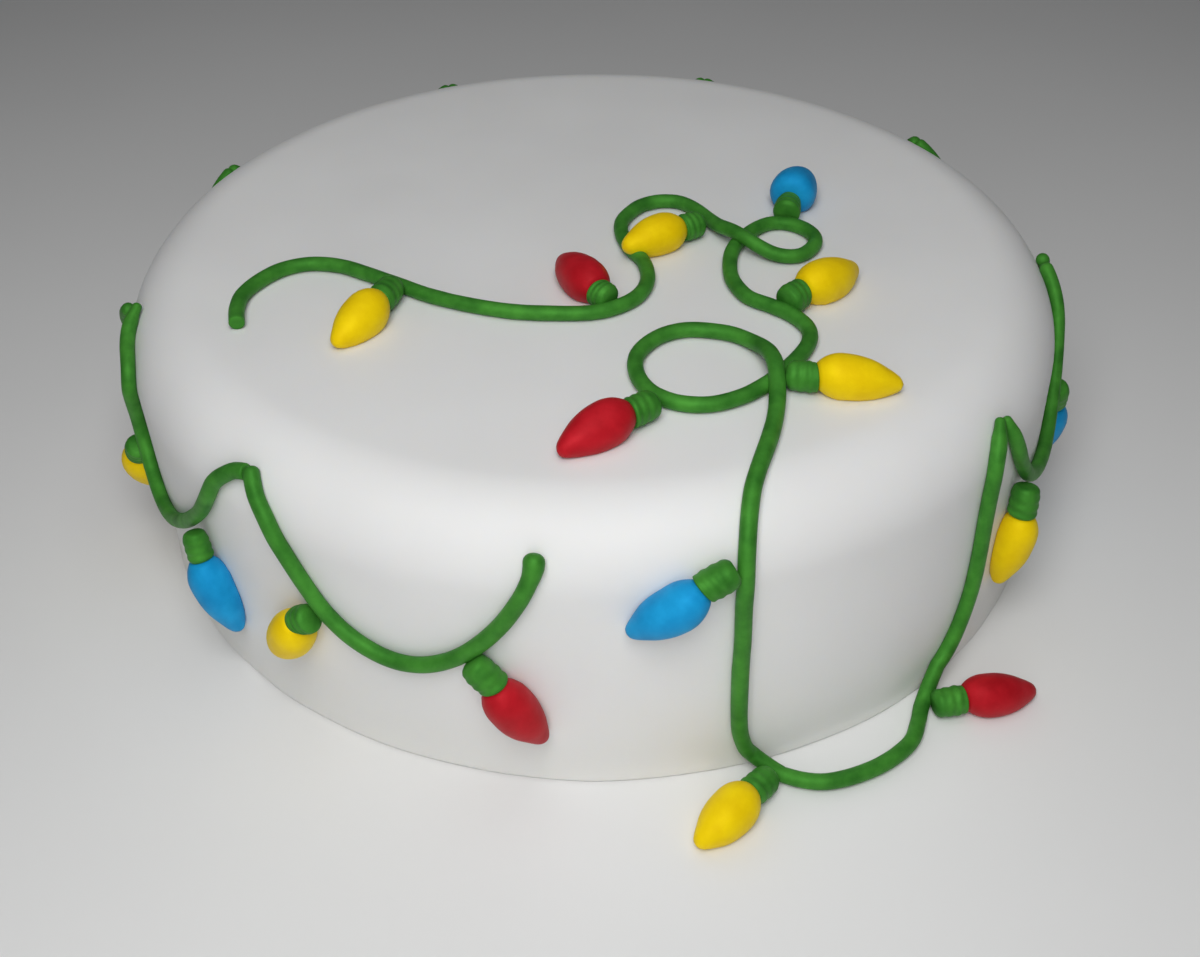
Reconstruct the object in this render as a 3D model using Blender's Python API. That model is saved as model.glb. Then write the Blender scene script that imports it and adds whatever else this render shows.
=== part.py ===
"""A round christmas cake under white icing, with a garland of green icing rope and icing light bulbs.

The cake stands on z = 0, centred on the origin, with its front towards -Y. An azimuth is an angle
round the cake in degrees, 0 at the front and 90 at +X. Lists of places are in millimetres.
"""

import math

import bmesh
import bpy
from mathutils import Vector
from mathutils.geometry import intersect_point_line

MM = 0.001

# Cake: a 203 mm fruit cake under marzipan and rolled icing
CAKE_RADIUS = 106.5 * MM
CAKE_HEIGHT = 65.5 * MM
EDGE_RADIUS = 16.0 * MM
FLAT_RADIUS = CAKE_RADIUS - EDGE_RADIUS
WALL_TOP = CAKE_HEIGHT - EDGE_RADIUS
FOOT_RADIUS = 1.0 * MM
CAKE_SIDES = 84
EDGE_STEPS = 6
LEAN = -1.3 * MM  # how far the top sits to the left of the base

# Rope
ROPE_RADIUS = 1.68 * MM
ROPE_RING_STEPS = 2  # eight sides
ROPE_STEP = 4.6 * MM
GAP = 0.3 * MM  # clear space between pieces that touch
ROPE_LIFT = ROPE_RADIUS + GAP
SOCKET_CLEARANCE = ROPE_RADIUS + 4 * GAP  # of a socket's corners from the middle of a rope
ROPE_SEARCH = 16 * MM
HUMP = 2 * ROPE_RADIUS + 2 * GAP  # rise where the rope passes over itself
HUMP_REACH = 6.5 * MM
END_TAPER = 0.72  # radius of a rope's end face, as a part of the rope's radius
END_ROUNDING = 0.9 * MM

# Swags of rope round the side, from peak to peak of the garland
PEAK_CLEARANCE = 1.1  # degrees from a peak to each of the two ropes that meet there
BACK_PEAKS = ((89, 58.5), (124, 60), (162, 60), (203, 60), (243, 58.5), (281.3, 58.5))  # azimuth and height
BACK_LOW_HEIGHT = 30.0
SWAG_FALL = ((0.0, 1.0), (0.13, 0.87), (0.26, 0.65), (0.4, 0.38), (0.65, 0.12), (1.0, 0.0))

# Light bulbs
BULB_LENGTH = 16.5 * MM
BULB_WIDTH = 9.5 * MM
BULB_SIDES = 10
BULB_OUTLINE = (
    (0.0, 0.27), (0.13, 0.43), (0.33, 0.5), (0.55, 0.455), (0.76, 0.32), (0.91, 0.19), (1.0, 0.06),
)  # place along the bulb as a part of its length, and radius as a part of its width
BULB_BASE_RISE = 0.40  # height of the axis above the icing, as a part of the width
BULB_TIP_RISE = 0.17
SOCKET_SIDES = 8
SOCKET_OUTLINE = ((0.0, 2.7), (0.16, 3.3), (0.45, 3.25), (0.78, 3.0), (1.0, 2.6))
SOCKET_RISE = 3.4 * MM

COLOURS = {
    "icing_white": ((0.80, 0.79, 0.76), 0.55),
    "icing_green": ((0.055, 0.26, 0.028), 0.6),
    "icing_red": ((0.50, 0.012, 0.022), 0.6),
    "icing_yellow": ((0.80, 0.60, 0.012), 0.6),
    "icing_blue": ((0.012, 0.29, 0.66), 0.6),
}


def material(name):
    """The icing of this name, made once."""
    found = bpy.data.materials.get(name)
    if found:
        return found
    colour, roughness = COLOURS[name]
    made = bpy.data.materials.new(name)
    made.use_nodes = True
    shader = made.node_tree.nodes["Principled BSDF"]
    shader.inputs["Base Color"].default_value = (*colour, 1.0)
    shader.inputs["Roughness"].default_value = roughness
    shader.inputs["Metallic"].default_value = 0.0
    made.diffuse_color = (*colour, 1.0)
    return made


def leaned(point):
    """The point moved sideways with the lean of the cake."""
    return Vector((point.x + LEAN * point.z / CAKE_HEIGHT, point.y, point.z))


def add_mesh(name, mesh_data, icing):
    """A smooth object of a closed bmesh, leaned and facing outwards."""
    for vertex in mesh_data.verts:
        vertex.co = leaned(vertex.co)
    bmesh.ops.recalc_face_normals(mesh_data, faces=mesh_data.faces)
    mesh = bpy.data.meshes.new(name)
    mesh_data.to_mesh(mesh)
    mesh_data.free()
    mesh.materials.append(material(icing))
    mesh.shade_smooth()
    made = bpy.data.objects.new(name, mesh)
    bpy.context.scene.collection.objects.link(made)
    return made


def closed_rings(rings):
    """A bmesh of rings of points joined in order and closed by a face at each end."""
    built = bmesh.new()
    loops = [[built.verts.new(point) for point in ring] for ring in rings]
    for near, far in zip(loops, loops[1:]):
        for i, corner in enumerate(near):
            after = (i + 1) % len(near)
            built.faces.new((corner, near[after], far[after], far[i]))
    built.faces.new(reversed(loops[0]))
    built.faces.new(loops[-1])
    return built


# The cake's surface


def radial(azimuth):
    """The outward direction at this azimuth."""
    angle = math.radians(azimuth)
    return Vector((math.sin(angle), -math.cos(angle), 0))


def settled(point, stand_off):
    """The nearest point that stands this far off the cake's surface, and the outward normal there."""
    reach = math.hypot(point.x, point.y)
    outward = Vector((point.x, point.y, 0)) / max(reach, 1e-9)
    across = max(reach - FLAT_RADIUS, 0)
    above = max(point.z - WALL_TOP, 0)
    if across == 0:
        normal = Vector((0, 0, 1))
        skin = Vector((point.x, point.y, CAKE_HEIGHT))
    elif above == 0:
        normal = outward
        skin = outward * CAKE_RADIUS + Vector((0, 0, point.z))
    else:
        normal = (outward * across + Vector((0, 0, above))).normalized()
        skin = outward * FLAT_RADIUS + Vector((0, 0, WALL_TOP)) + normal * EDGE_RADIUS
    return skin + normal * stand_off, normal


def distance_off(point):
    """How far the point is outside the cake's surface."""
    skin, normal = settled(point, 0)
    return (point - skin).dot(normal)


def on_side(azimuth, height, stand_off=ROPE_LIFT):
    """The point at this azimuth and height in millimetres that stands this far off the side."""
    height *= MM
    edge = EDGE_RADIUS + stand_off
    above = min(max(height - WALL_TOP, 0), edge)
    reach = FLAT_RADIUS + math.sqrt(edge * edge - above * above)
    return radial(azimuth) * reach + Vector((0, 0, height))


def make_cake():
    """The cake: a turned solid with a small rounded foot and a broad rounded top edge."""
    outline = [(CAKE_RADIUS - FOOT_RADIUS, 0), (CAKE_RADIUS, FOOT_RADIUS)]
    for step in range(EDGE_STEPS + 1):
        angle = math.pi / 2 * step / EDGE_STEPS
        outline.append((FLAT_RADIUS + EDGE_RADIUS * math.cos(angle), WALL_TOP + EDGE_RADIUS * math.sin(angle)))
    rings = [[] for _ in outline]
    for side in range(CAKE_SIDES):
        outward = radial(360 * side / CAKE_SIDES)
        for ring, (reach, height) in zip(rings, outline):
            ring.append(outward * reach + Vector((0, 0, height)))
    return add_mesh("cake", closed_rings(rings), "icing_white")


# Ropes

rope_stretches = []  # the straight stretches of every rope made so far


def stop_on_top(x, y, crest=False):
    """A stop of a rope's route on top of the cake. A crest is where it passes over itself."""
    spot, _ = settled(Vector((x * MM, y * MM, CAKE_HEIGHT)), ROPE_LIFT)
    return spot, "cake", crest


def stop_on_side(azimuth, height):
    """A stop of a rope's route on the cake's side, at the height of the rope's middle."""
    return on_side(azimuth, height), "cake", False


def stop_on_board(x, y):
    """A stop of a rope's route on the surface that the cake stands on."""
    return Vector((x * MM, y * MM, ROPE_RADIUS)), "board", False


def spline_point(before, start, end, after, part):
    """The point this part of the way from start to end on a Catmull-Rom curve."""
    square = part * part
    cube = square * part
    return 0.5 * (
        2 * start
        + (end - before) * part
        + (2 * before - 5 * start + 4 * end - after) * square
        + (3 * start - before - 3 * end + after) * cube
    )


def rope_path(stops):
    """Points along a rope, close together and standing a rope's radius off what carries them."""
    spots = [stop[0] for stop in stops]
    spots = [2 * spots[0] - spots[1], *spots, 2 * spots[-1] - spots[-2]]
    path, crests, length = [], [], 0.0
    for i, (start, end) in enumerate(zip(stops, stops[1:])):
        if start[2]:
            crests.append(len(path))
        steps = max(1, round((end[0] - start[0]).length / ROPE_STEP))
        for step in range(steps):
            point = spline_point(*spots[i : i + 4], step / steps)
            if start[1] == end[1] == "cake":
                point, _ = settled(point, ROPE_LIFT)
            elif start[1] == end[1]:
                point.z = ROPE_RADIUS
            elif distance_off(point) < ROPE_LIFT:
                point, _ = settled(point, ROPE_LIFT)
            point.z = max(point.z, ROPE_RADIUS)
            path.append(point)
    path.append(stops[-1][0])
    along = [0.0]
    for near, far in zip(path, path[1:]):
        length += (far - near).length
        along.append(length)
    for crest in crests:
        for i, point in enumerate(path):
            away = (along[i] - along[crest]) / HUMP_REACH
            rise = HUMP * math.exp(-away * away)
            if rise > GAP / 4:
                path[i] = point + rise * Vector((0, 0, 1))
    return path


def make_rope(name, stops):
    """A rope of green icing along these stops, slightly rounded at its ends."""
    path = rope_path(stops)
    first = path[0] + (path[1] - path[0]).normalized() * END_ROUNDING
    last = path[-1] + (path[-2] - path[-1]).normalized() * END_ROUNDING
    path = [path[0], first, *path[1:-1], last, path[-1]]
    curve = bpy.data.curves.new(name, "CURVE")
    curve.dimensions = "3D"
    curve.bevel_depth = ROPE_RADIUS
    curve.bevel_resolution = ROPE_RING_STEPS
    curve.use_fill_caps = True
    spline = curve.splines.new("POLY")
    spline.points.add(len(path) - 1)
    for place, point in zip(spline.points, path):
        place.co = (*leaned(point), 1)
    rope_stretches.extend(zip(path, path[1:]))
    spline.points[0].radius = END_TAPER
    spline.points[-1].radius = END_TAPER
    curve.materials.append(material("icing_green"))
    made = bpy.data.objects.new(name, curve)
    bpy.context.scene.collection.objects.link(made)
    return made


def swag_stops(start, end, low):
    """Stops of a rope that sags between two peaks, each an azimuth and a height, down to a lowest height."""
    left = start[0] + PEAK_CLEARANCE
    right = end[0] - PEAK_CLEARANCE
    half = (right - left) / 2
    down = [(left + half * part, low + (start[1] - low) * fall) for part, fall in SWAG_FALL]
    up = [(right - half * part, low + (end[1] - low) * fall) for part, fall in SWAG_FALL[-2::-1]]
    return [stop_on_side(azimuth, height) for azimuth, height in down + up]


def swag_height(start, end, low, azimuth):
    """The height of such a rope's middle at an azimuth."""
    middle = (start[0] + end[0]) / 2
    half = (end[0] - start[0]) / 2 - PEAK_CLEARANCE
    peak = start[1] if azimuth < middle else end[1]
    part = 1 - abs(azimuth - middle) / half
    for (near, high), (far, below) in zip(SWAG_FALL, SWAG_FALL[1:]):
        if part <= far:
            return low + (peak - low) * (high + (below - high) * (part - near) / (far - near))
    return low


TOP_START = (
    (-74.1, -39.7), (-75.2, -34.2), (-75.1, -28.6), (-72.7, -23), (-68.4, -17.8), (-62.5, -15.3),
    (-55.5, -16.4), (-48.5, -20.3), (-41.5, -24.8), (-34.5, -29.5), (-26, -33.2), (-17, -35.8), (-8.5, -36.6),
    (0, -36.4),
    (5.9, -34), (10.3, -29.6), (12.3, -23), (11.5, -15.5), (8.5, -9.5), (7, -3), (7.2, 2.8), (9.6, 7.9),
    (12.3, 11), (16.6, 12.8), (21.2, 12), (25, 7.8), (27.7, 2.3), (30, -3.2),
)
TOP_SMALL_LOOP = (
    (37.4, -11.7), (42.1, -14), (46.8, -13.4), (50.2, -9), (50.8, -4.9), (49.3, -1.4), (46, 1.2), (42, 1.6),
    (38.5, -0.5), (34.9, -4.8), (32.2, -9.9), (30.8, -16), (30.7, -24), (33.3, -31), (38, -34.8), (42, -38.4),
    (44.7, -43.5), (44.3, -49), (41, -55.4),
)
TOP_LARGE_LOOP = (
    (37.2, -60.5), (34, -64), (29, -68), (22.5, -70.4), (16, -69.4), (11.2, -65.3), (8.9, -59),
    (9.4, -52.5), (13.2, -46.8), (18.4, -44.1), (24, -44.2), (29.9, -46.3), (34.2, -51.6),
)
TOP_END = ((36.1, -65.7), (35.3, -72.4), (33.8, -79), (31.9, -85.2))
FRONT_DOWN = (
    (18.4, 66.7), (17, 65.3), (15.8, 62.2), (14.9, 56.3), (14.6, 48), (14.6, 37.5), (14.5, 27), (14.6, 16),
    (15, 10), (16.1, 5.1),
)
BOARD_LOOP = (
    (36.3, -106.8), (40, -108.2), (43.8, -108.8), (47.8, -108.2), (52, -106.7), (56.3, -104.5), (60.7, -101.3),
    (64, -97.8), (66.1, -92.8), (67.8, -88),
)
RIGHT_UP = (
    (41.6, 6), (43.7, 10.2), (45.3, 16), (46.4, 23), (46.9, 32.3), (47, 42.8), (47.4, 52.1),
    (48.8, 57), (50.3, 60),
)
RIGHT_SWAG = (
    (51.5, 59.2), (52, 55.4), (53.2, 50.2), (55.4, 44.5), (58.8, 37.8), (62.8, 34), (67.3, 32.6), (71, 33.3),
    (75.3, 37.8), (79.8, 45.5), (83.8, 53.5), (86.8, 59),
)
LEFT_SWAG = (
    (-39, 60.3), (-40.4, 59.6), (-41.7, 58), (-43.2, 55.3), (-44.7, 50.4), (-48, 42.6), (-53.2, 34.4),
    (-58.5, 28.5), (-63, 26.8), (-67.2, 29.8), (-69.6, 35), (-69.8, 41), (-68.6, 47.5), (-67.8, 52),
    (-68.4, 55), (-70, 56.6), (-72.1, 57.6), (-73.8, 58.9), (-75.2, 60.8), (-76.1, 62.3),
)
FRONT_SWAG = (
    (-38.2, 60.6), (-36.8, 57.6), (-35, 54), (-33.3, 48.6), (-31, 41.5), (-28.8, 35.9), (-25.9, 31.8),
    (-22, 29.4), (-18.3, 29.9), (-14.8, 33.1), (-11.8, 38), (-9.2, 44), (-7.1, 50.8), (-5.9, 56), (-5.7, 58.2),
)


def make_ropes():
    """The nine ropes of the garland."""
    main = [stop_on_top(x, y) for x, y in TOP_START]
    main.append(stop_on_top(33, -7.8, crest=True))
    main += [stop_on_top(x, y) for x, y in TOP_SMALL_LOOP]
    main += [stop_on_top(x, y) for x, y in TOP_LARGE_LOOP]
    main.append(stop_on_top(36.1, -58.6, crest=True))
    main += [stop_on_top(x, y) for x, y in TOP_END]
    main += [stop_on_side(azimuth, height) for azimuth, height in FRONT_DOWN]
    main += [stop_on_board(x, y) for x, y in BOARD_LOOP]
    main += [stop_on_side(azimuth, height) for azimuth, height in RIGHT_UP]
    make_rope("rope_main", main)
    make_rope("rope_right", [stop_on_side(*place) for place in RIGHT_SWAG])
    make_rope("rope_left", [stop_on_side(*place) for place in LEFT_SWAG])
    make_rope("rope_front", [stop_on_side(*place) for place in FRONT_SWAG])
    for number, (start, end) in enumerate(zip(BACK_PEAKS, BACK_PEAKS[1:]), 1):
        make_rope(f"rope_back_{number}", swag_stops(start, end, BACK_LOW_HEIGHT))


# Lights: a ribbed socket beside the rope and a bulb in its end


def clear_of_ropes(point):
    """The point, moved straight away from any rope that it would touch."""
    for near, far in rope_stretches:
        if abs(point.x - near.x) + abs(point.y - near.y) + abs(point.z - near.z) > ROPE_SEARCH:
            continue
        nearest, part = intersect_point_line(point, near, far)
        nearest = near if part < 0 else far if part > 1 else nearest
        away = point - nearest
        if away.length < SOCKET_CLEARANCE:
            point = nearest + away.normalized() * SOCKET_CLEARANCE
    return point


def support(kind, across, along):
    """A point on the top, side or board, its normal, and the two directions that headings turn between."""
    if kind == "top":
        skin, normal = settled(Vector((across * MM, along * MM, CAKE_HEIGHT)), 0)
        sideways = Vector((1, 0, 0))
        return skin, normal, sideways, Vector((0, 1, 0))
    if kind == "board":
        return Vector((across * MM, along * MM, 0)), Vector((0, 0, 1)), Vector((1, 0, 0)), Vector((0, 1, 0))
    skin, normal = settled(on_side(across, along, 0), 0)
    sideways = Vector((0, 0, 1)).cross(radial(across))
    return skin, normal, sideways, normal.cross(sideways)


def rested(point, kind):
    """The point, raised where it would sink into what the light lies on."""
    if distance_off(point) < GAP:
        point, _ = settled(point, GAP)
    if kind == "board":
        point.z = max(point.z, 0)
    return point


def ring(centre, outward, sideways, radius, sides):
    """Points of a circle about an axis that is square to both directions."""
    angles = [2 * math.pi * (side + 0.5) / sides for side in range(sides)]
    return [centre + (outward * math.sin(a) + sideways * math.cos(a)) * radius for a in angles]


def make_socket(name, kind, start, end, normal, ahead, shares):
    """A barrel from the rope to the bulb, which turns to meet the bulb's base face to face."""
    straight = (end - start).normalized()
    near, far = shares
    rings = []
    for part, radius in SOCKET_OUTLINE:
        axis = straight.lerp(ahead, part).normalized()
        side = normal.cross(axis).normalized()
        wide = radius * MM * (near + (far - near) * part)
        circle = ring(start.lerp(end, part), axis.cross(side), side, wide, SOCKET_SIDES)
        rings.append([rested(clear_of_ropes(point), kind) for point in circle])
    return add_mesh(name, closed_rings(rings), "icing_green")


def make_bulb(name, kind, skin, normal, ahead, icing, tip_lift):
    """A bulb that swells near its socket and tapers to a rounded tip."""
    side = normal.cross(ahead)
    rings = []
    for part, radius in BULB_OUTLINE:
        rise = BULB_WIDTH * (BULB_BASE_RISE + (BULB_TIP_RISE - BULB_BASE_RISE) * part) + tip_lift * part
        under = skin + ahead * BULB_LENGTH * part
        if kind != "board":
            under, normal = settled(under, 0)
        circle = ring(under + normal * rise, normal, side, radius * BULB_WIDTH, BULB_SIDES)
        rings.append([rested(point, kind) for point in circle])
    return add_mesh(name, closed_rings(rings), f"icing_{icing}")


def make_light(number, icing, kind, rope, base, heading, tip_lift):
    """A socket from a place on a rope to the base of a bulb, and the bulb, which points along its heading."""
    rope_skin, rope_normal, _, _ = support(kind, *rope)
    skin, normal, across, along = support(kind, *base)
    angle = math.radians(heading)
    ahead = across * math.cos(angle) + along * math.sin(angle)
    start = rope_skin + rope_normal * SOCKET_RISE
    end = skin + normal * BULB_WIDTH * BULB_BASE_RISE - ahead * GAP
    start += (end - start).normalized() * (ROPE_RADIUS + 2 * GAP)
    shares = SOCKET_SHARES.get(number, (1.0, 1.0))
    make_socket(f"socket_{number:02d}", kind, start, end, (rope_normal + normal).normalized(), ahead, shares)
    make_bulb(f"bulb_{number:02d}_{icing}", kind, skin, normal, ahead, icing, tip_lift)


TOP_LIGHTS = (
    ("red", (5.2, -34.9), (1.4, -31.2), 118),
    ("yellow", (26.5, -0.2), (20.5, -4.4), 212),
    ("blue", (44.7, 1.6), (46.7, 8.8), 73),
    ("yellow", (39.8, -37.1), (45, -32.1), 40),
    ("yellow", (36.7, -62.3), (44, -64.3), 2),
    ("red", (13.2, -70.4), (7.1, -75.7), 212),
    ("yellow", (-42, -25.5), (-44.8, -34.4), 244),
)
TIP_LIFTS = {2: 6.4 * MM}  # rise of a tip that rests on the rope, by the light's number
SOCKET_SHARES = {3: (1.15, 0.85), 4: (1.18, 0.97), 12: (0.86, 0.86)}  # of the width at rope and bulb
SIDE_LIGHTS = (
    ("blue", (14.3, 55.2), (10.1, 52.7), 217),
    ("yellow", (56, 40.8), (54.9, 32.7), 262),
    ("blue", (77.6, 38.6), (81.2, 28), 280),
    ("yellow", (-69.8, 35), (-71.8, 29.5), 239),
    ("blue", (-49.2, 39), (-47.8, 31.5), 289),
    ("yellow", (-29.4, 35.6), (-31.9, 32.7), 241),
    ("red", (-13, 36), (-10.1, 29.9), 295),
)
BOARD_LIGHTS = (
    ("yellow", (34.8, -106.8), (29.1, -112.9), 227),
    ("red", (68, -89.8), (76.3, -88.3), 11),
)
BACK_LIGHTS = (
    ("red", 0, 101, 264),
    ("blue", 1, 135, 250),
    ("yellow", 1, 151, 284),
    ("red", 2, 176, 256),
    ("blue", 2, 192, 292),
    ("yellow", 3, 216, 247),
    ("blue", 3, 231, 280),
    ("red", 4, 266, 276),
)  # icing, swag, azimuth on it and heading
BACK_SOCKET = 8.6  # degrees of azimuth and millimetres of height are both taken from this length


def make_lights():
    """Every light, numbered in the order of the lists."""
    lights = []
    for icing, rope, base, heading in TOP_LIGHTS:
        lights.append((icing, "top", rope, base, heading))
    for icing, rope, base, heading in SIDE_LIGHTS:
        lights.append((icing, "side", rope, base, heading))
    for icing, rope, base, heading in BOARD_LIGHTS:
        lights.append((icing, "board", rope, base, heading))
    for icing, swag, azimuth, heading in BACK_LIGHTS:
        height = swag_height(BACK_PEAKS[swag], BACK_PEAKS[swag + 1], BACK_LOW_HEIGHT, azimuth)
        angle = math.radians(heading)
        turn = math.degrees(BACK_SOCKET * MM * math.cos(angle) / CAKE_RADIUS)
        base = (azimuth + turn, height + BACK_SOCKET * math.sin(angle))
        lights.append((icing, "side", (azimuth, height), base, heading))
    for number, light in enumerate(lights, 1):
        make_light(number, *light, tip_lift=TIP_LIFTS.get(number, 0.0))


def main():
    for left_over in list(bpy.data.objects):
        bpy.data.objects.remove(left_over)
    make_cake()
    make_ropes()
    make_lights()


main()
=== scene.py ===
"""The looks of the christmas cake: its icing, the garland of icing rope and the icing light bulbs.

Metres, in the frame of the solids: the cake stands on z = 0 with its front towards -Y. An azimuth is an
angle round the cake in degrees, 0 at the front and 90 at +X. Places on the cake and the board are listed
in millimetres.
"""

import math

import bmesh
import bpy
from mathutils import Matrix, Vector, noise


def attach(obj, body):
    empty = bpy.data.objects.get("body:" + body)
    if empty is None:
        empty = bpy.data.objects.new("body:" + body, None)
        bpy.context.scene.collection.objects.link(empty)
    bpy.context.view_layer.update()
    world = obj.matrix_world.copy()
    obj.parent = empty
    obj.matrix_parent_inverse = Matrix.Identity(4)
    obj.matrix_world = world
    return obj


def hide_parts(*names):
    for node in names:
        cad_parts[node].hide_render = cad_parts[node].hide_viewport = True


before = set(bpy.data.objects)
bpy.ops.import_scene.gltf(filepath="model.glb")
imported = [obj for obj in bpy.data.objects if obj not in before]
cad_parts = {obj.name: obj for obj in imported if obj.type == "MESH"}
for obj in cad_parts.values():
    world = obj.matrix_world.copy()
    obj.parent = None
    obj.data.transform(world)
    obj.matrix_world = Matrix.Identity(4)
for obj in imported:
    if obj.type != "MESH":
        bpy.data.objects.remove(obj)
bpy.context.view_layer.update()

MM = 0.001

# Cake
CAKE_RADIUS = 106.5 * MM
CAKE_HEIGHT = 65.5 * MM
EDGE_RADIUS = 16.0 * MM
FLAT_RADIUS = CAKE_RADIUS - EDGE_RADIUS
WALL_TOP = CAKE_HEIGHT - EDGE_RADIUS
FOOT_RADIUS = 1.0 * MM
LEAN = -1.3 * MM  # how far the top sits to the left of the base
CAKE_SIDES = 320
TOP_RINGS = 44
EDGE_RINGS = 20
WALL_RINGS = 34
FOOT_RINGS = 5
BASE_RINGS = 5

# Unevenness of the rolled icing: size of the swellings, their height and a shift of the pattern
SWELLS = (
    (62 * MM, 0.42 * MM, 3.1),
    (27 * MM, 0.13 * MM, 7.7),
)

# The foot, which flares a little and unevenly
FOOT_SWELL_SIZE = 15 * MM
FOOT_SWELL = 0.45 * MM
FOOT_FLARE = 0.35 * MM
FOOT_REACH = 5.0 * MM
FOOT_SHIFT = 5.3

# Rope
ROPE_RADIUS = 1.68 * MM
ROPE_LIFT = 1.55 * MM  # height of a rope's middle over the icing that it lies on
STOP_LIFT = 1.9 * MM  # how far off the icing the stops on the side are given
ROPE_SIDES = 20
ROPE_STEP = 1.1 * MM
ROPE_HUMP = 2.5 * MM  # rise where the rope passes over itself
HUMP_REACH = 8.0 * MM
ROPE_THICKNESS = ((11 * MM, 0.035), (3.5 * MM, 0.018))  # size and share of its thick and thin stretches
ROPE_WANDER_SIZE = 13 * MM
ROPE_WANDER = 0.14 * MM
WANDER_SHIFT = 9.0
ROPE_FLATNESS = 0.95  # height of a rope as a part of its width
TURN_HEIGHT = 3 * ROPE_RADIUS  # below this a rope turns from lying on the wall to lying on the board

# Swags round the back
BACK_PEAKS = ((89, 58.5), (124, 60), (162, 60), (203, 60), (243, 58.5), (281.3, 58.5))  # azimuth and height
PEAK_CLEARANCE = 0.55  # degrees from a peak to the end of the rope beside it
BACK_LOW_HEIGHT = 30.0
# Part of the way from a peak to the lowest place, and part of the height that is left there
SWAG_FALL = ((0.0, 1.0), (0.13, 0.87), (0.26, 0.65), (0.4, 0.38), (0.65, 0.12), (1.0, 0.0))

# Bulbs and their sockets
BULB_SIDES = 30
BULB_RINGS = 34
RING_REACH = 0.995  # the last ring stops just short of the tip, which a point closes
RING_CROWDING = 1.25  # above 1, the rings stand closer together towards the tip
BULB_OUTLINE = (
    (0.0, 0.27), (0.06, 0.36), (0.14, 0.44), (0.24, 0.49), (0.34, 0.5), (0.46, 0.49), (0.58, 0.455),
    (0.70, 0.39), (0.82, 0.29), (0.91, 0.205), (0.97, 0.12), (1.0, 0.0),
)  # place along the bulb as a part of its length, and radius as a part of its width
BULB_BASE_RISE = 0.40  # height of the axis above the icing, as a part of the width
BULB_TIP_RISE = 0.21
BULB_SWELL_SIZE = 5.5 * MM
BULB_SWELL = 0.11 * MM
SWELL_FADE = 0.25  # the swelling fades where the radius is less than this part of the width
BEND_POWER = 3  # how late along the bulb its bend sets in
SOCKET_SIDES = 32
SOCKET_RINGS = 44
SOCKET_RADIUS = 3.15 * MM
SOCKET_OUTLINE = (
    (0.0, 0.64), (0.05, 0.80), (0.15, 0.92), (0.35, 0.98), (0.6, 1.0), (0.85, 1.01), (0.95, 0.97),
    (0.985, 0.90), (1.0, 0.78),
)
SOCKET_RISE = 2.9 * MM  # height of its axis over the icing, at the rope
SOCKET_END_RISE = 3.4 * MM
SOCKET_RIBS = 3.6
RIB_DEPTH = 0.07
RIB_FADE = 0.3  # depth of a rib next to the rope, as a part of the depth next to the bulb
RIB_TILT = 0.10
RIB_SHIFT = 0.37  # part of a rib by which each socket's ribs are shifted from those of the one before
SOCKET_SWELL_SIZE = 3 * MM
SOCKET_SWELL = 0.10 * MM

# Camera, as the photograph was taken
IMAGE_WIDTH = 1200
FOCAL_PIXELS = 1423.6
SENSOR = 36.0  # millimetres, as the lens is
CAMERA_DISTANCE = 363.9 * MM
CAMERA_ELEVATION = 38.41
CAMERA_ROLL = -0.517
CAMERA_TARGET = Vector((0.14 * MM, -8.4 * MM, 0))


def leaned(point):
    """The point moved sideways with the lean of the cake."""
    return Vector((point.x + LEAN * point.z / CAKE_HEIGHT, point.y, point.z))


def along_outline(outline, part):
    """The value of an outline at a place on it, rounded between its points."""
    for i in range(len(outline) - 1):
        if part <= outline[i + 1][0]:
            break
    x1, y1 = outline[i]
    x2, y2 = outline[i + 1]
    x0, y0 = outline[max(i - 1, 0)]
    x3, y3 = outline[min(i + 2, len(outline) - 1)]
    slope1 = (y2 - y0) / (x2 - x0)
    slope2 = (y3 - y1) / (x3 - x1)
    t = min(max((part - x1) / (x2 - x1), 0), 1)
    span = x2 - x1
    return (
        y1 * (1 + 2 * t) * (1 - t) ** 2
        + span * slope1 * t * (1 - t) ** 2
        + y2 * t * t * (3 - 2 * t)
        + span * slope2 * t * t * (t - 1)
    )


def wave(point, size, shift):
    """Smooth noise from about -1 to 1 that varies over this size."""
    return noise.noise(point / size + Vector((shift, -shift, 2 * shift)))


# The cake's surface


def radial(azimuth):
    """The outward direction at this azimuth."""
    angle = math.radians(azimuth)
    return Vector((math.sin(angle), -math.cos(angle), 0))


def swell(skin):
    """How far the icing stands proud of its turned form at a point of it."""
    rise = sum(wave(skin, size, shift) * height for size, height, shift in SWELLS)
    low = max(1 - skin.z / FOOT_REACH, 0)
    if low:
        rise += low * low * (FOOT_FLARE + FOOT_SWELL * wave(skin, FOOT_SWELL_SIZE, FOOT_SHIFT))
    return rise


def settled(point, stand_off):
    """The nearest point that stands this far off the icing, and the outward normal there."""
    reach = math.hypot(point.x, point.y)
    outward = Vector((point.x, point.y, 0)) / max(reach, 1e-9)
    across = max(reach - FLAT_RADIUS, 0)
    above = max(point.z - WALL_TOP, 0)
    if across == 0:
        normal = Vector((0, 0, 1))
        skin = Vector((point.x, point.y, CAKE_HEIGHT))
    elif above == 0:
        normal = outward
        skin = outward * CAKE_RADIUS + Vector((0, 0, point.z))
    else:
        normal = (outward * across + Vector((0, 0, above))).normalized()
        skin = outward * FLAT_RADIUS + Vector((0, 0, WALL_TOP)) + normal * EDGE_RADIUS
    return skin + normal * (stand_off + swell(skin)), normal


def distance_off(point):
    """How far the point is outside the icing."""
    skin, normal = settled(point, 0)
    return (point - skin).dot(normal)


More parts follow.
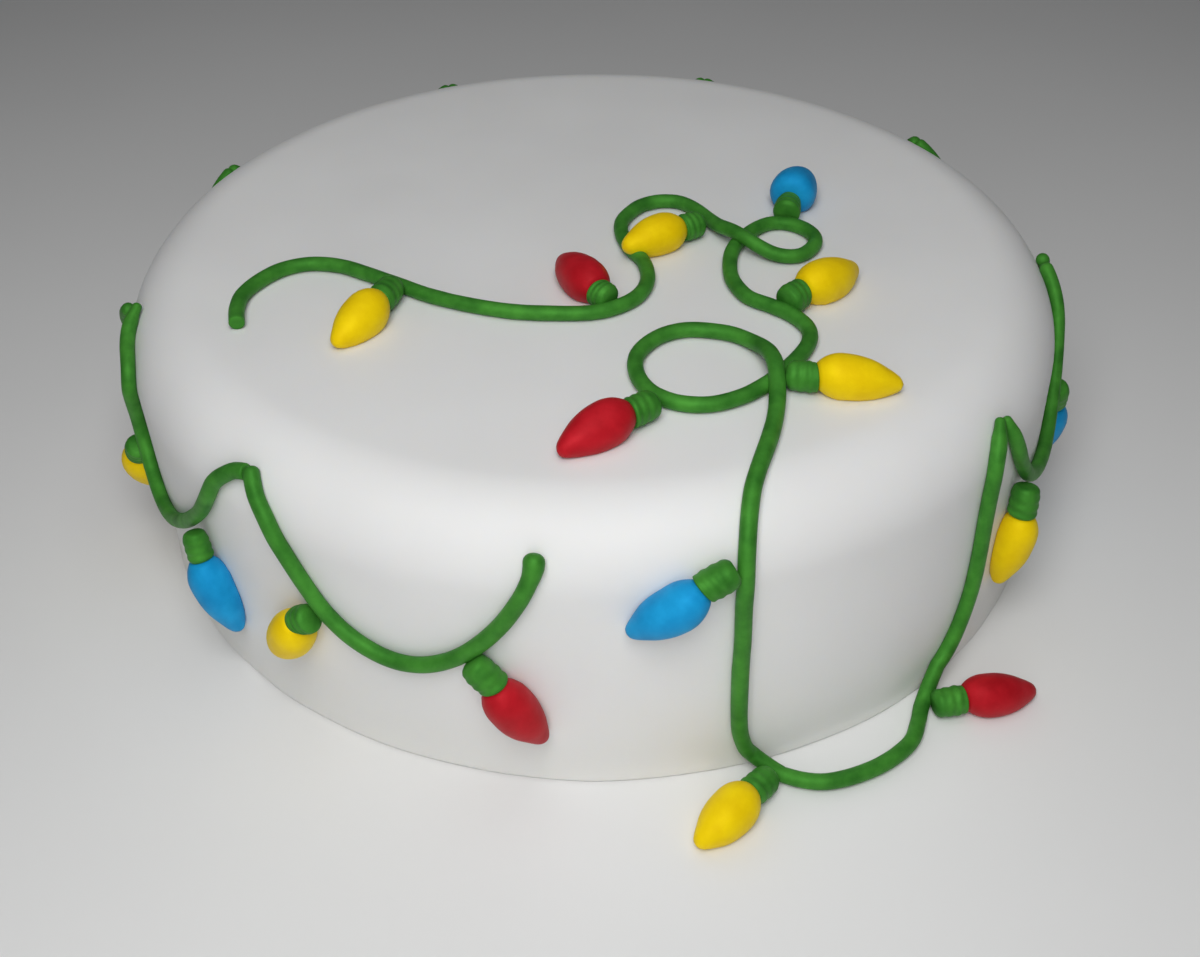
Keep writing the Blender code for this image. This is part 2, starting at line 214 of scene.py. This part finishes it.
def on_side(azimuth, height, stand_off=STOP_LIFT):
    """The point at this azimuth and height in millimetres that stands this far off the side."""
    height *= MM
    edge = EDGE_RADIUS + stand_off
    above = min(max(height - WALL_TOP, 0), edge)
    reach = FLAT_RADIUS + math.sqrt(edge * edge - above * above)
    return radial(azimuth) * reach + Vector((0, 0, height))


# Meshes


looks = {}  # the material of each icing, by the name of its slot


def add_piece(name, built, slot, *nodes):
    """An object of a closed bmesh, leaned with the cake, that stands for these solids."""
    for vertex in built.verts:
        vertex.co = leaned(vertex.co)
    bmesh.ops.recalc_face_normals(built, faces=built.faces)
    mesh = bpy.data.meshes.new(name)
    built.to_mesh(mesh)
    built.free()
    mesh.materials.append(looks[slot])
    mesh.shade_smooth()
    piece = bpy.data.objects.new(name, mesh)
    bpy.context.scene.collection.objects.link(piece)
    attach(piece, "root")
    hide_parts(*nodes)


def closed_rings(rings):
    """A bmesh of rings of points joined in order, closed by a point at each end."""
    built = bmesh.new()
    loops = [[built.verts.new(point) for point in ring] for ring in rings]
    for near, far in zip(loops, loops[1:]):
        for i, corner in enumerate(near):
            after = (i + 1) % len(near)
            built.faces.new((corner, near[after], far[after], far[i]))
    for loop in (loops[0][::-1], loops[-1]):
        middle = sum((corner.co for corner in loop), Vector()) / len(loop)
        tip = built.verts.new(middle)
        for i, corner in enumerate(loop):
            built.faces.new((corner, loop[(i + 1) % len(loop)], tip))
    return built


def make_cake():
    """The cake's icing, from the middle of the top over the edge and down to the middle of the base."""
    outline = []
    for ring in range(1, TOP_RINGS + 1):
        outline.append((FLAT_RADIUS * ring / TOP_RINGS, CAKE_HEIGHT, 0.0, 1.0))
    for ring in range(1, EDGE_RINGS + 1):
        angle = math.pi / 2 * (1 - ring / EDGE_RINGS)
        sideways, up = math.cos(angle), math.sin(angle)
        outline.append((FLAT_RADIUS + EDGE_RADIUS * sideways, WALL_TOP + EDGE_RADIUS * up, sideways, up))
    for ring in range(1, WALL_RINGS + 1):
        height = WALL_TOP + (FOOT_RADIUS - WALL_TOP) * ring / WALL_RINGS
        outline.append((CAKE_RADIUS, height, 1.0, 0.0))
    for ring in range(1, FOOT_RINGS + 1):
        angle = math.pi / 2 * ring / FOOT_RINGS
        reach = CAKE_RADIUS - FOOT_RADIUS * (1 - math.cos(angle))
        outline.append((reach, FOOT_RADIUS * (1 - math.sin(angle)), 1.0, 0.0))
    base = outline[-1][0]
    for ring in range(1, BASE_RINGS):
        outline.append((base * (1 - ring / BASE_RINGS), 0.0, 0.0, 0.0))
    rings = []
    for reach, height, sideways, up in outline:
        ring = []
        for side in range(CAKE_SIDES):
            outward = radial(360 * side / CAKE_SIDES)
            skin = outward * reach + Vector((0, 0, height))
            ring.append(skin + (outward * sideways + Vector((0, 0, up))) * swell(skin))
        rings.append(ring)
    add_piece("cake_icing", closed_rings(rings), "icing_white", "cake")


# Ropes


def stop_on_top(x, y, crest=False):
    """A stop of a rope's route on top of the cake. A crest is where it passes over itself."""
    spot, _ = settled(Vector((x * MM, y * MM, CAKE_HEIGHT)), ROPE_LIFT)
    return spot, "cake", crest


def stop_on_side(azimuth, height):
    """A stop of a rope's route on the cake's side, at the height of the rope's middle."""
    spot, _ = settled(on_side(azimuth, height), ROPE_LIFT)
    return spot, "cake", False


def stop_on_board(x, y):
    """A stop of a rope's route on the surface that the cake stands on."""
    return Vector((x * MM, y * MM, ROPE_RADIUS)), "board", False


def spline_point(before, start, end, after, part):
    """The point this part of the way from start to end on a Catmull-Rom curve."""
    square = part * part
    cube = square * part
    return 0.5 * (
        2 * start
        + (end - before) * part
        + (2 * before - 5 * start + 4 * end - after) * square
        + (3 * start - before - 3 * end + after) * cube
    )


def lengths_along(path):
    """How far along the path each of its points is."""
    along = [0.0]
    for near, far in zip(path, path[1:]):
        along.append(along[-1] + (far - near).length)
    return along


def rope_path(stops):
    """Points along a rope, close together and lying on what carries them."""
    spots = [stop[0] for stop in stops]
    spots = [2 * spots[0] - spots[1], *spots, 2 * spots[-1] - spots[-2]]
    path, crests = [], []
    for i, (start, end) in enumerate(zip(stops, stops[1:])):
        if start[2]:
            crests.append(len(path))
        steps = max(1, round((end[0] - start[0]).length / ROPE_STEP))
        for step in range(steps):
            point = spline_point(*spots[i : i + 4], step / steps)
            if start[1] == end[1] == "cake":
                point, _ = settled(point, ROPE_LIFT)
            elif start[1] == end[1]:
                point.z = ROPE_RADIUS
            elif distance_off(point) < ROPE_LIFT:
                point, _ = settled(point, ROPE_LIFT)
            point.z = max(point.z, ROPE_RADIUS)
            path.append(point)
    path.append(stops[-1][0])
    along = lengths_along(path)
    for crest in crests:
        for i, point in enumerate(path):
            away = (along[i] - along[crest]) / HUMP_REACH
            path[i] = point + Vector((0, 0, ROPE_HUMP * math.exp(-away * away)))
    return path


CUT, ROUND, SWOLLEN, PINCHED = "cut", "round", "swollen", "pinched"
END_REACH = 4.2 * MM
END_GROWTH = {CUT: 0.0, ROUND: 0.0, SWOLLEN: 0.24, PINCHED: -0.34}
END_STEPS = {
    CUT: ((0.10, 0.95), (0.16, 0.86), (0.17, 0.5)),
    ROUND: ((0.3, 0.94), (0.55, 0.78), (0.72, 0.55), (0.8, 0.3)),
}  # how far beyond the rope's end, and how wide, as parts of its radius


def make_rope(name, stops, start_end, last_end, shift):
    """A hand-rolled rope of icing along these stops, a little uneven, with the ends that are named."""
    path = rope_path(stops)
    along = lengths_along(path)
    total = along[-1]
    up = Vector((0, 0, 1))
    frames = []
    for i, point in enumerate(path):
        heading = (path[min(i + 1, len(path) - 1)] - path[max(i - 1, 0)]).normalized()
        _, normal = settled(point, 0)
        on_board = min(max(1 - point.z / TURN_HEIGHT, 0), 1)
        above = normal.lerp(up, on_board)
        side = heading.cross(above).normalized()
        above = side.cross(heading)
        size = 1.0
        for length, share in ROPE_THICKNESS:
            size += share * wave(point, length, shift)
        for away, end in ((along[i], start_end), (total - along[i], last_end)):
            near = max(1 - away / END_REACH, 0)
            size += END_GROWTH[end] * near * near * (3 - 2 * near)
        wander = side * ROPE_WANDER * wave(point, ROPE_WANDER_SIZE, shift + WANDER_SHIFT)
        frames.append((point + wander, heading, side, above, ROPE_RADIUS * size))

    def ring_at(place, side, above, radius):
        angles = [2 * math.pi * i / ROPE_SIDES for i in range(ROPE_SIDES)]
        across, upward = side * radius, above * radius * ROPE_FLATNESS
        return [place + across * math.cos(angle) + upward * math.sin(angle) for angle in angles]

    def cap(last, end, way):
        place, heading, side, above, radius = last
        steps = END_STEPS[CUT if end == CUT else ROUND]
        onward = heading * way * radius
        return [ring_at(place + onward * out, side, above, radius * wide) for out, wide in steps]

    rings = cap(frames[0], start_end, -1)[::-1]
    rings += [ring_at(place, side, above, radius) for place, _, side, above, radius in frames]
    rings += cap(frames[-1], last_end, 1)
    add_piece(f"icing_{name}", closed_rings(rings), "icing_green", name)


def swag_stops(start, end, low):
    """Stops of a rope that sags between two peaks, each an azimuth and a height, down to a lowest height."""
    left = start[0] + PEAK_CLEARANCE
    right = end[0] - PEAK_CLEARANCE
    half = (right - left) / 2
    down = [(left + half * part, low + (start[1] - low) * fall) for part, fall in SWAG_FALL]
    up = [(right - half * part, low + (end[1] - low) * fall) for part, fall in SWAG_FALL[-2::-1]]
    return [stop_on_side(azimuth, height) for azimuth, height in down + up]


def swag_height(start, end, low, azimuth):
    """The height of such a rope's middle at an azimuth."""
    middle = (start[0] + end[0]) / 2
    half = (end[0] - start[0]) / 2 - PEAK_CLEARANCE
    peak = start[1] if azimuth < middle else end[1]
    part = 1 - abs(azimuth - middle) / half
    for (near, high), (far, below) in zip(SWAG_FALL, SWAG_FALL[1:]):
        if part <= far:
            return low + (peak - low) * (high + (below - high) * (part - near) / (far - near))
    return low


# The ropes' routes: X and Y on the top and the board, azimuth and height on the side
TOP_START = (
    (-74.1, -39.7), (-75.2, -34.2), (-75.1, -28.6), (-72.7, -23), (-68.4, -17.8), (-62.5, -15.3),
    (-55.5, -16.4), (-48.5, -20.3), (-41.5, -24.8), (-34.5, -29.5), (-26, -33.2), (-17, -35.8),
    (-8.5, -36.6), (0, -36.4), (5.9, -34), (10.3, -29.6), (12.3, -23), (11.5, -15.5), (8.5, -9.5),
    (7, -3), (7.2, 2.8), (9.6, 7.9), (12.3, 11), (16.6, 12.8), (21.2, 12), (25, 7.8), (27.7, 2.3),
    (30, -3.2),
)
SMALL_CREST = (33, -7.8)
TOP_SMALL_LOOP = (
    (37.4, -11.7), (42.1, -14), (46.8, -13.4), (50.2, -9), (50.8, -4.9), (49.3, -1.4), (46, 1.2), (42, 1.6),
    (38.5, -0.5), (34.9, -4.8), (32.2, -9.9), (30.8, -16), (30.7, -24), (33.3, -31), (38, -34.8), (42, -38.4),
    (44.7, -43.5), (44.3, -49), (41, -55.4),
)
TOP_LARGE_LOOP = (
    (37.2, -60.5), (34, -64), (29, -68), (22.5, -70.4), (16, -69.4), (11.2, -65.3), (8.9, -59),
    (9.4, -52.5), (13.2, -46.8), (18.4, -44.1), (24, -44.2), (29.9, -46.3), (34.2, -51.6),
)
LARGE_CREST = (36.1, -58.6)
TOP_END = ((36.1, -65.7), (35.3, -72.4), (33.8, -79), (31.9, -85.2))
FRONT_DOWN = (
    (18.4, 66.7), (17, 65.3), (15.8, 62.2), (14.9, 56.3), (14.6, 48), (14.6, 37.5), (14.5, 27), (14.6, 16),
    (15, 10), (16.1, 5.1),
)
BOARD_LOOP = (
    (36.3, -106.8), (40, -108.2), (43.8, -108.8), (47.8, -108.2), (52, -106.7), (56.3, -104.5),
    (60.7, -101.3), (64, -97.8), (66.1, -92.8), (67.8, -88),
)
RIGHT_UP = (
    (41.6, 6), (43.7, 10.2), (45.3, 16), (46.4, 23), (46.9, 32.3), (47, 42.8), (47.4, 52.1),
    (48.8, 57), (50.3, 60),
)
RIGHT_SWAG = (
    (51.5, 59.2), (52, 55.4), (53.2, 50.2), (55.4, 44.5), (58.8, 37.8), (62.8, 34), (67.3, 32.6), (71, 33.3),
    (75.3, 37.8), (79.8, 45.5), (83.8, 53.5), (86.8, 59),
)
LEFT_SWAG = (
    (-39, 60.3), (-40.4, 59.6), (-41.7, 58), (-43.2, 55.3), (-44.7, 50.4), (-48, 42.6), (-53.2, 34.4),
    (-58.5, 28.5), (-63, 26.8), (-67.2, 29.8), (-69.6, 35), (-69.8, 41), (-68.6, 47.5), (-67.8, 52),
    (-68.4, 55), (-70, 56.6), (-72.1, 57.6), (-73.8, 58.9), (-75.2, 60.8), (-76.1, 62.3),
)
FRONT_SWAG = (
    (-38.2, 60.6), (-36.8, 57.6), (-35, 54), (-33.3, 48.6), (-31, 41.5), (-28.8, 35.9), (-25.9, 31.8),
    (-22, 29.4), (-18.3, 29.9), (-14.8, 33.1), (-11.8, 38), (-9.2, 44), (-7.1, 50.8), (-5.9, 56),
    (-5.7, 58.2),
)


def make_ropes():
    """The nine ropes of the garland."""
    main = [stop_on_top(x, y) for x, y in TOP_START]
    main.append(stop_on_top(*SMALL_CREST, crest=True))
    main += [stop_on_top(x, y) for x, y in TOP_SMALL_LOOP]
    main += [stop_on_top(x, y) for x, y in TOP_LARGE_LOOP]
    main.append(stop_on_top(*LARGE_CREST, crest=True))
    main += [stop_on_top(x, y) for x, y in TOP_END]
    main += [stop_on_side(azimuth, height) for azimuth, height in FRONT_DOWN]
    main += [stop_on_board(x, y) for x, y in BOARD_LOOP]
    main += [stop_on_side(azimuth, height) for azimuth, height in RIGHT_UP]
    make_rope("rope_main", main, CUT, PINCHED, 1.0)
    make_rope("rope_right", [stop_on_side(*place) for place in RIGHT_SWAG], PINCHED, ROUND, 2.0)
    make_rope("rope_left", [stop_on_side(*place) for place in LEFT_SWAG], CUT, PINCHED, 3.0)
    make_rope("rope_front", [stop_on_side(*place) for place in FRONT_SWAG], ROUND, SWOLLEN, 4.0)
    for number, (start, end) in enumerate(zip(BACK_PEAKS, BACK_PEAKS[1:]), 1):
        stops = swag_stops(start, end, BACK_LOW_HEIGHT)
        make_rope(f"rope_back_{number}", stops, ROUND, ROUND, 4.0 + number)


# Lights


def support(kind, across, along):
    """A point on the top, side or board, its normal, and the two directions that headings turn between."""
    if kind == "top":
        skin, normal = settled(Vector((across * MM, along * MM, CAKE_HEIGHT)), 0)
        return skin, normal, Vector((1, 0, 0)), Vector((0, 1, 0))
    if kind == "board":
        return Vector((across * MM, along * MM, 0)), Vector((0, 0, 1)), Vector((1, 0, 0)), Vector((0, 1, 0))
    skin, normal = settled(on_side(across, along, 0), 0)
    sideways = Vector((0, 0, 1)).cross(radial(across))
    return skin, normal, sideways, normal.cross(sideways)


def rested(point, kind):
    """The point, raised to the surface where it would sink into what the light lies on."""
    if distance_off(point) < 0:
        point, _ = settled(point, 0)
    if kind == "board":
        point.z = max(point.z, 0)
    return point


def make_socket(number, kind, start, end, normal, ahead):
    """A ribbed barrel from the rope to the bulb, which turns to meet the bulb."""
    straight = (end - start).normalized()
    near, far = SOCKET_SHARES.get(number, (1.0, 1.0))
    rings = []
    for i in range(SOCKET_RINGS + 1):
        part = i / SOCKET_RINGS
        axis = straight.lerp(ahead, part).normalized()
        side = normal.cross(axis).normalized()
        above = axis.cross(side)
        middle = start.lerp(end, part)
        radius = SOCKET_RADIUS * along_outline(SOCKET_OUTLINE, part) * (near + (far - near) * part)
        ring = []
        for j in range(SOCKET_SIDES):
            angle = 2 * math.pi * j / SOCKET_SIDES
            outward = above * math.sin(angle) + side * math.cos(angle)
            turn = SOCKET_RIBS * part + RIB_TILT * math.sin(angle + number) + RIB_SHIFT * number
            groove = (0.5 + 0.5 * math.cos(2 * math.pi * turn)) * (RIB_FADE + (1 - RIB_FADE) * part)
            skin = middle + outward * radius
            uneven = SOCKET_SWELL * wave(skin, SOCKET_SWELL_SIZE, number)
            point = middle + outward * (radius * (1 - RIB_DEPTH * groove) + uneven)
            ring.append(rested(point, kind))
        rings.append(ring)
    name = f"socket_{number:02d}"
    add_piece(f"icing_{name}", closed_rings(rings), "icing_green", name)


def make_bulb(number, kind, skin, normal, ahead, size, bend, icing):
    """A bulb that swells near its socket and tapers to a blunt tip."""
    length, width = size[0] * MM, size[1] * MM
    tip_lift = TIP_LIFTS.get(number, 0.0)
    skew = BULB_SKEWS.get(number, 1.0)
    rings = []
    for i in range(BULB_RINGS):
        part = 1 - (1 - i / (BULB_RINGS - 1) * RING_REACH) ** RING_CROWDING
        radius = width * along_outline(BULB_OUTLINE, part ** skew)
        side = normal.cross(ahead).normalized()
        rise = width * (BULB_BASE_RISE + (BULB_TIP_RISE - BULB_BASE_RISE) * part) + tip_lift * part
        under = skin + ahead * length * part + side * bend * MM * part ** BEND_POWER
        if kind != "board":
            under, normal = settled(under, 0)
        middle = under + normal * rise
        swelling = BULB_SWELL * min(radius / width / SWELL_FADE, 1)
        ring = []
        for j in range(BULB_SIDES):
            angle = 2 * math.pi * j / BULB_SIDES
            outward = normal * math.sin(angle) + side * math.cos(angle)
            uneven = swelling * wave(middle + outward * radius, BULB_SWELL_SIZE, number)
            ring.append(rested(middle + outward * (radius + uneven), kind))
        rings.append(ring)
    name = f"bulb_{number:02d}_{icing}"
    add_piece(f"icing_{name}", closed_rings(rings), f"icing_{icing}", name)


def make_light(number, icing, kind, rope, base, heading, size, bend):
    """A socket from a place on a rope to the base of a bulb, and the bulb, which points along its heading."""
    rope_skin, rope_normal, _, _ = support(kind, *rope)
    skin, normal, across, along = support(kind, *base)
    angle = math.radians(heading)
    ahead = across * math.cos(angle) + along * math.sin(angle)
    start = rope_skin + rope_normal * SOCKET_RISE
    end = skin + normal * SOCKET_END_RISE
    start += (end - start).normalized() * ROPE_RADIUS
    make_socket(number, kind, start, end, (rope_normal + normal).normalized(), ahead)
    make_bulb(number, kind, skin, normal, ahead, size, bend, icing)


# The lights: icing, place on the rope, place of the bulb's base, heading, length and width, and bend
TOP_LIGHTS = (
    ("red", (5.2, -34.9), (1.4, -31.2), 118, (18.4, 9.9), -0.6),
    ("yellow", (26.5, -0.2), (20.5, -4.4), 212, (16.2, 9.3), 0.4),
    ("blue", (44.7, 1.6), (46.7, 8.8), 73, (17.4, 10.9), -0.6),
    ("yellow", (39.8, -37.1), (45, -32.1), 40, (18.1, 9.9), 1.1),
    ("yellow", (36.7, -62.3), (44, -64.3), 2, (16.9, 9.5), -1),
    ("red", (13.2, -70.4), (7.1, -75.7), 212, (16.6, 9.3), 1.2),
    ("yellow", (-42, -25.5), (-44.8, -34.4), 244, (16.4, 9.4), -0.6),
)
SIDE_LIGHTS = (
    ("blue", (14.3, 55.2), (10.1, 52.7), 217, (16.8, 9), -0.3),
    ("yellow", (56, 40.8), (54.9, 32.7), 262, (17.9, 9.1), -1.1),
    ("blue", (77.6, 38.6), (81.2, 28), 280, (17, 9.4), 0),
    ("yellow", (-69.8, 35), (-71.8, 29.5), 239, (17.5, 9.5), 0),
    ("blue", (-49.2, 39), (-47.8, 31.5), 289, (18.2, 9.3), 0.3),
    ("yellow", (-29.4, 35.6), (-31.9, 32.7), 241, (17.4, 9.5), -1.8),
    ("red", (-13, 36), (-10.1, 29.9), 295, (17.8, 9.6), 0.8),
)
BOARD_LIGHTS = (
    ("yellow", (34.8, -106.8), (29.1, -112.9), 227, (15.8, 9.6), -0.5),
    ("red", (68, -89.8), (76.3, -88.3), 11, (16.7, 9.4), 0.6),
)
BACK_LIGHTS = (
    ("red", 0, 101, 264),
    ("blue", 1, 135, 250),
    ("yellow", 1, 151, 284),
    ("red", 2, 176, 256),
    ("blue", 2, 192, 292),
    ("yellow", 3, 216, 247),
    ("blue", 3, 231, 280),
    ("red", 4, 266, 276),
)  # icing, swag, azimuth on it and heading
BACK_SOCKET = 8.6  # from the rope to the bulb's base
BACK_SIZE = (16.5, 9.5)
TIP_LIFTS = {2: 1.8 * MM}  # rise of a tip that rests on the rope, by the light's number
# Width of a socket at the rope and at the bulb, as parts of the usual width, by the light's number
SOCKET_SHARES = {3: (1.15, 0.85), 4: (1.18, 0.97), 12: (0.86, 0.86)}
BULB_SKEWS = {3: 0.76}  # below 1, the bulb is widest nearer to its socket and tapers from there


def make_lights():
    """Every light, numbered in the order of the lists."""
    lights = []
    for kind, group in (("top", TOP_LIGHTS), ("side", SIDE_LIGHTS), ("board", BOARD_LIGHTS)):
        for icing, rope, base, heading, size, bend in group:
            lights.append((icing, kind, rope, base, heading, size, bend))
    for icing, swag, azimuth, heading in BACK_LIGHTS:
        height = swag_height(BACK_PEAKS[swag], BACK_PEAKS[swag + 1], BACK_LOW_HEIGHT, azimuth)
        angle = math.radians(heading)
        turn = math.degrees(BACK_SOCKET * MM * math.cos(angle) / CAKE_RADIUS)
        base = (azimuth + turn, height + BACK_SOCKET * math.sin(angle))
        lights.append((icing, "side", (azimuth, height), base, heading, BACK_SIZE, 0))
    for number, light in enumerate(lights, 1):
        make_light(number, *light)


# Materials


class Nodes:
    """A material's node tree, with short ways to add and join nodes."""

    def __init__(self, name):
        self.material = bpy.data.materials.new(name)
        self.material.use_nodes = True
        self.tree = self.material.node_tree
        self.shader = self.tree.nodes["Principled BSDF"]
        self.place = self.tree.nodes.new("ShaderNodeTexCoord").outputs["Object"]

    def join(self, source, target):
        """A link from one node's output to another's input."""
        self.tree.links.new(source, target)

    def noise(self, scale, detail=3.0, roughness=0.5):
        """Noise over the surface with this many swings a metre."""
        node = self.tree.nodes.new("ShaderNodeTexNoise")
        node.inputs["Scale"].default_value = scale
        node.inputs["Detail"].default_value = detail
        node.inputs["Roughness"].default_value = roughness
        self.join(self.place, node.inputs["Vector"])
        return node.outputs["Fac"]

    def ramp(self, source, *stops):
        """Colours or grey values picked by a value."""
        node = self.tree.nodes.new("ShaderNodeValToRGB")
        while len(node.color_ramp.elements) < len(stops):
            node.color_ramp.elements.new(1.0)
        for element, (place, colour) in zip(node.color_ramp.elements, stops):
            element.position = place
            element.color = (*colour, 1.0) if isinstance(colour, tuple) else (colour, colour, colour, 1.0)
        self.join(source, node.inputs["Fac"])
        return node.outputs["Color"]

    def tint(self, share, colour, plain):
        """A node's colour mixed with a plain one, by the share that another node gives."""
        node = self.tree.nodes.new("ShaderNodeMix")
        node.data_type = "RGBA"
        self.join(share, node.inputs["Factor"])
        self.join(colour, node.inputs["A"])
        node.inputs["B"].default_value = (*plain, 1.0)
        return node.outputs["Result"]

    def bump(self, source, strength, distance, onto=None):
        """The surface raised by a value, by this distance in metres."""
        node = self.tree.nodes.new("ShaderNodeBump")
        node.inputs["Strength"].default_value = strength
        node.inputs["Distance"].default_value = distance
        self.join(source, node.inputs["Height"])
        if onto:
            self.join(onto, node.inputs["Normal"])
        return node.outputs["Normal"]


WHITE_DARK = (0.79, 0.79, 0.784)
WHITE_LIGHT = (0.82, 0.822, 0.817)
CREAM = (0.80, 0.793, 0.725)
CREAM_SHARE = 0.35
CREAM_HEIGHTS = (2 * MM, 24 * MM)  # the cream is full up to the first and gone from the second


def white_icing():
    """Smooth satin icing, faintly cloudy, with a fine grain and a trace of cream low on the wall."""
    nodes = Nodes("satin_white")
    cloud = nodes.ramp(nodes.noise(scale=24, detail=2), (0.3, WHITE_DARK), (0.7, WHITE_LIGHT))
    split = nodes.tree.nodes.new("ShaderNodeSeparateXYZ")
    nodes.join(nodes.place, split.inputs[0])
    height = nodes.tree.nodes.new("ShaderNodeMapRange")
    nodes.join(split.outputs["Z"], height.inputs["Value"])
    height.inputs["From Min"].default_value = CREAM_HEIGHTS[0]
    height.inputs["From Max"].default_value = CREAM_HEIGHTS[1]
    height.inputs["To Min"].default_value = CREAM_SHARE
    height.inputs["To Max"].default_value = 0.0
    colour = nodes.tint(height.outputs["Result"], cloud, CREAM)
    nodes.join(colour, nodes.shader.inputs["Base Color"])
    gloss = nodes.ramp(nodes.noise(scale=60, detail=4), (0.3, 0.50), (0.7, 0.62))
    nodes.join(gloss, nodes.shader.inputs["Roughness"])
    soft = nodes.bump(nodes.noise(scale=95, detail=2), strength=0.25, distance=0.12 * MM)
    grain = nodes.noise(scale=1900, detail=4, roughness=0.6)
    fine = nodes.bump(grain, strength=0.22, distance=0.03 * MM, onto=soft)
    nodes.join(fine, nodes.shader.inputs["Normal"])
    nodes.shader.inputs["Subsurface Weight"].default_value = 0.25
    nodes.shader.inputs["Subsurface Radius"].default_value = (1.0, 0.85, 0.65)
    nodes.shader.inputs["Subsurface Scale"].default_value = 1.6 * MM
    nodes.shader.inputs["Specular IOR Level"].default_value = 0.4
    return nodes.material


def coloured_icing(name, dark, light, fineness, roughness, sheen):
    """Dyed icing, mottled between two tones, with a dusty grain and a soft sheen of its own colour."""
    nodes = Nodes(name)
    cloud = nodes.ramp(nodes.noise(scale=210, detail=4, roughness=0.55), (0.32, dark), (0.68, light))
    nodes.join(cloud, nodes.shader.inputs["Base Color"])
    low, high = roughness
    gloss = nodes.ramp(nodes.noise(scale=400), (0.3, low), (0.7, high))
    nodes.join(gloss, nodes.shader.inputs["Roughness"])
    soft = nodes.bump(nodes.noise(scale=330), strength=0.35, distance=0.12 * MM)
    grain = nodes.noise(scale=fineness, detail=4, roughness=0.65)
    fine = nodes.bump(grain, strength=0.35, distance=0.05 * MM, onto=soft)
    nodes.join(fine, nodes.shader.inputs["Normal"])
    nodes.shader.inputs["Specular IOR Level"].default_value = 0.8
    nodes.shader.inputs["Specular Tint"].default_value = (*sheen, 1.0)
    return nodes.material


COLOURS = {
    "green": ((0.023, 0.130, 0.014), (0.056, 0.246, 0.029), 2600, (0.52, 0.62), (0.28, 1.0, 0.18)),
    "red": ((0.38, 0.006, 0.012), (0.51, 0.011, 0.020), 2400, (0.50, 0.60), (1.0, 0.12, 0.14)),
    "yellow": ((0.84, 0.570, 0.002), (0.94, 0.680, 0.004), 2400, (0.50, 0.60), (1.0, 0.8, 0.05)),
    "blue": ((0.006, 0.245, 0.55), (0.014, 0.340, 0.69), 2400, (0.50, 0.60), (0.06, 0.55, 1.0)),
}  # the darker and lighter tone, the grain's swings a metre, the span of the roughness and the sheen


def make_looks():
    """The material of each of the five icings."""
    looks["icing_white"] = white_icing()
    for colour, tones in COLOURS.items():
        looks[f"icing_{colour}"] = coloured_icing(f"satin_{colour}", *tones)


# Floor, light and camera


FLOOR_REACH = 3.0
FLOOR_DROP = 0.05 * MM  # how far it lies below the cake, to keep the two surfaces apart
FLOOR_DARK = (0.82, 0.82, 0.815)
FLOOR_LIGHT = (0.84, 0.84, 0.835)


def make_floor():
    """A plain pale floor, wide enough to fill the photograph's view."""
    nodes = Nodes("floor_pale")
    tone = nodes.ramp(nodes.noise(scale=9, detail=2), (0.3, FLOOR_DARK), (0.7, FLOOR_LIGHT))
    nodes.join(tone, nodes.shader.inputs["Base Color"])
    nodes.shader.inputs["Roughness"].default_value = 0.6
    built = bmesh.new()
    bmesh.ops.create_grid(built, x_segments=8, y_segments=8, size=FLOOR_REACH)
    mesh = bpy.data.meshes.new("floor")
    built.to_mesh(mesh)
    built.free()
    mesh.materials.append(nodes.material)
    floor = bpy.data.objects.new("floor", mesh)
    floor.location.z = -FLOOR_DROP
    bpy.context.scene.collection.objects.link(floor)


LAMPS = (
    ("key", Vector((-0.028, -0.340, 0.413)), 0.25, 1.37),
    ("low", Vector((-0.042, -0.501, 0.159)), 0.25, 0.27),
    ("above", Vector((0.011, -0.082, 0.627)), 0.40, 0.59),
)  # name, place, side length and power
LAMP_TARGET = Vector((0, -0.02, 0.03))


def make_lamp(name, place, side, power):
    """A soft square light that faces the cake."""
    data = bpy.data.lights.new(name, "AREA")
    data.shape = "SQUARE"
    data.size = side
    data.energy = power
    lamp = bpy.data.objects.new(name, data)
    lamp.location = place
    lamp.rotation_euler = (LAMP_TARGET - place).to_track_quat("-Z", "Y").to_euler()
    bpy.context.scene.collection.objects.link(lamp)


WORLD_COLOUR = (0.95, 0.97, 1.0)
WORLD_STRENGTH = 0.06


def make_lighting():
    """A broad light from the front and above, a weaker one below it, one overhead and a faint surrounding."""
    for lamp in LAMPS:
        make_lamp(*lamp)
    world = bpy.data.worlds.new("world")
    world.use_nodes = True
    background = world.node_tree.nodes["Background"]
    background.inputs["Color"].default_value = (*WORLD_COLOUR, 1.0)
    background.inputs["Strength"].default_value = WORLD_STRENGTH
    bpy.context.scene.world = world
    bpy.context.scene.view_settings.view_transform = "Standard"


def make_camera():
    """The camera, at the photograph's place, angle and field of view."""
    elevation = math.radians(CAMERA_ELEVATION)
    ahead = Vector((0, math.cos(elevation), -math.sin(elevation)))
    level = Vector((1, 0, 0))
    upward = level.cross(ahead)
    roll = math.radians(CAMERA_ROLL)
    right = level * math.cos(roll) + upward * math.sin(roll)
    up = upward * math.cos(roll) - level * math.sin(roll)
    data = bpy.data.cameras.new("camera")
    data.sensor_width = SENSOR
    data.lens = FOCAL_PIXELS / IMAGE_WIDTH * SENSOR
    data.clip_start = 0.01
    data.clip_end = 20
    camera = bpy.data.objects.new("camera", data)
    turn = Matrix((right, up, -ahead)).transposed().to_4x4()
    camera.matrix_world = Matrix.Translation(CAMERA_TARGET - ahead * CAMERA_DISTANCE) @ turn
    bpy.context.scene.collection.objects.link(camera)
    bpy.context.scene.camera = camera


make_looks()
make_cake()
make_ropes()
make_lights()
make_floor()
make_lighting()
make_camera()
